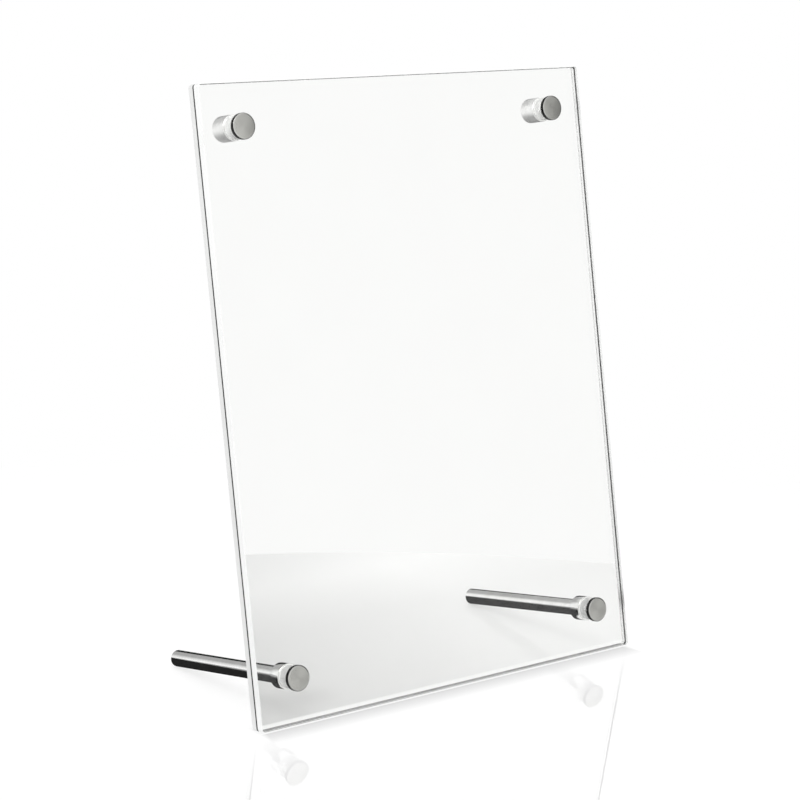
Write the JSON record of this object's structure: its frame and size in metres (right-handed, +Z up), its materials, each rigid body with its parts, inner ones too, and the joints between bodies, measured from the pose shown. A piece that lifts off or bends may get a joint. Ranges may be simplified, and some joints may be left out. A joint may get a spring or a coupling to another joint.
{
  "type": "clear acrylic clamp photo frame",
  "caption": "Clear sheet photo frame that clamps a print between two upright sheets with capped studs and leans back on round steel legs.",
  "frame": {"origin": "middle of the footprint, on the surface that the frame stands on", "axes": "+Z up, -Y to the front that the viewer faces, +X to the viewer's right"},
  "size_m": [0.167, 0.0786, 0.2154],
  "materials": {
    "clear_acrylic": "clear, gloss, polished edges",
    "clear_washer": "clear, gloss",
    "brushed_cap": "spun brushed face",
    "turned_steel": "turned and polished",
    "threaded_steel": "rolled thread, M3"
  },
  "bodies": {
    "rear_panel": {"rear_sheet": "clear_acrylic"},
    "front_panel": {"front_sheet": "clear_acrylic"},
    "front_washer_top_left": {"front_washer_top_left": "clear_washer"},
    "cap_screw_top_left": {"cap_top_left": "brushed_cap", "stud_top_left": "threaded_steel"},
    "rear_washer_top_left": {"rear_washer_top_left": "clear_washer"},
    "barrel_nut_left": {"barrel_nut_left": "turned_steel"},
    "front_washer_top_right": {"front_washer_top_right": "clear_washer"},
    "cap_screw_top_right": {"cap_top_right": "brushed_cap", "stud_top_right": "threaded_steel"},
    "rear_washer_top_right": {"rear_washer_top_right": "clear_washer"},
    "barrel_nut_right": {"barrel_nut_right": "turned_steel"},
    "front_washer_bottom_left": {"front_washer_bottom_left": "clear_washer"},
    "cap_screw_bottom_left": {"cap_bottom_left": "brushed_cap", "stud_bottom_left": "threaded_steel"},
    "rear_washer_bottom_left": {"rear_washer_bottom_left": "clear_washer"},
    "leg_left": {"leg_rod_left": "turned_steel", "leg_collar_left": "turned_steel"},
    "front_washer_bottom_right": {"front_washer_bottom_right": "clear_washer"},
    "cap_screw_bottom_right": {"cap_bottom_right": "brushed_cap", "stud_bottom_right": "threaded_steel"},
    "rear_washer_bottom_right": {"rear_washer_bottom_right": "clear_washer"},
    "leg_right": {"leg_rod_right": "turned_steel", "leg_collar_right": "turned_steel"}
  },
  "joints": [
    {"name": "front_sheet_lift_off", "type": "slide", "parent": "rear_panel", "child": "front_panel", "axis": [0, -0.9833, 0.1822], "range_m": [0, 0.03]},
    {"name": "cap_screw_top_left_travel", "type": "slide", "parent": "front_panel", "child": "front_washer_top_left", "axis": [0, -0.9833, 0.1822], "range_m": [0, 0.005]},
    {"name": "cap_screw_top_left_turn", "type": "hinge", "parent": "front_washer_top_left", "child": "cap_screw_top_left", "pos_m": [-0.068, 0.00063, 0.20011], "axis": [0, -0.9833, 0.1822], "range_deg": [-1, 3604]},
    {"name": "barrel_nut_left_travel", "type": "slide", "parent": "rear_panel", "child": "rear_washer_top_left", "axis": [0, 0.9833, -0.1822], "range_m": [0, 0.005]},
    {"name": "barrel_nut_left_turn", "type": "hinge", "parent": "rear_washer_top_left", "child": "barrel_nut_left", "pos_m": [-0.068, 0.00063, 0.20011], "axis": [0, 0.9833, -0.1822], "range_deg": [-1, 3604]},
    {"name": "cap_screw_top_right_travel", "type": "slide", "parent": "front_panel", "child": "front_washer_top_right", "axis": [0, -0.9833, 0.1822], "range_m": [0, 0.005]},
    {"name": "cap_screw_top_right_turn", "type": "hinge", "parent": "front_washer_top_right", "child": "cap_screw_top_right", "pos_m": [0.068, 0.00063, 0.20011], "axis": [0, -0.9833, 0.1822], "range_deg": [-1, 3604]},
    {"name": "barrel_nut_right_travel", "type": "slide", "parent": "rear_panel", "child": "rear_washer_top_right", "axis": [0, 0.9833, -0.1822], "range_m": [0, 0.005]},
    {"name": "barrel_nut_right_turn", "type": "hinge", "parent": "rear_washer_top_right", "child": "barrel_nut_right", "pos_m": [0.068, 0.00063, 0.20011], "axis": [0, 0.9833, -0.1822], "range_deg": [-1, 3604]},
    {"name": "cap_screw_bottom_left_travel", "type": "slide", "parent": "front_panel", "child": "front_washer_bottom_left", "axis": [0, -0.9833, 0.1822], "range_m": [0, 0.005]},
    {"name": "cap_screw_bottom_left_turn", "type": "hinge", "parent": "front_washer_bottom_left", "child": "cap_screw_bottom_left", "pos_m": [-0.068, -0.03344, 0.01624], "axis": [0, -0.9833, 0.1822], "range_deg": [-1, 3604]},
    {"name": "leg_left_travel", "type": "slide", "parent": "rear_panel", "child": "rear_washer_bottom_left", "axis": [0, 0.9833, -0.1822], "range_m": [0, 0.005]},
    {"name": "leg_left_turn", "type": "hinge", "parent": "rear_washer_bottom_left", "child": "leg_left", "pos_m": [-0.068, -0.03344, 0.01624], "axis": [0, 0.9833, -0.1822], "range_deg": [-1, 3604]},
    {"name": "cap_screw_bottom_right_travel", "type": "slide", "parent": "front_panel", "child": "front_washer_bottom_right", "axis": [0, -0.9833, 0.1822], "range_m": [0, 0.005]},
    {"name": "cap_screw_bottom_right_turn", "type": "hinge", "parent": "front_washer_bottom_right", "child": "cap_screw_bottom_right", "pos_m": [0.068, -0.03344, 0.01624], "axis": [0, -0.9833, 0.1822], "range_deg": [-1, 3604]},
    {"name": "leg_right_travel", "type": "slide", "parent": "rear_panel", "child": "rear_washer_bottom_right", "axis": [0, 0.9833, -0.1822], "range_m": [0, 0.005]},
    {"name": "leg_right_turn", "type": "hinge", "parent": "rear_washer_bottom_right", "child": "leg_right", "pos_m": [0.068, -0.03344, 0.01624], "axis": [0, 0.9833, -0.1822], "range_deg": [-1, 3604]}
  ],
  "couplings": [
    {"joint": "cap_screw_top_left_turn", "follows": "cap_screw_top_left_travel", "rad_per_m": 12566},
    {"joint": "barrel_nut_left_turn", "follows": "barrel_nut_left_travel", "rad_per_m": 12566},
    {"joint": "cap_screw_top_right_turn", "follows": "cap_screw_top_right_travel", "rad_per_m": 12566},
    {"joint": "barrel_nut_right_turn", "follows": "barrel_nut_right_travel", "rad_per_m": 12566},
    {"joint": "cap_screw_bottom_left_turn", "follows": "cap_screw_bottom_left_travel", "rad_per_m": 12566},
    {"joint": "leg_left_turn", "follows": "leg_left_travel", "rad_per_m": 12566},
    {"joint": "cap_screw_bottom_right_turn", "follows": "cap_screw_bottom_right_travel", "rad_per_m": 12566},
    {"joint": "leg_right_turn", "follows": "leg_right_travel", "rad_per_m": 12566}
  ]
}
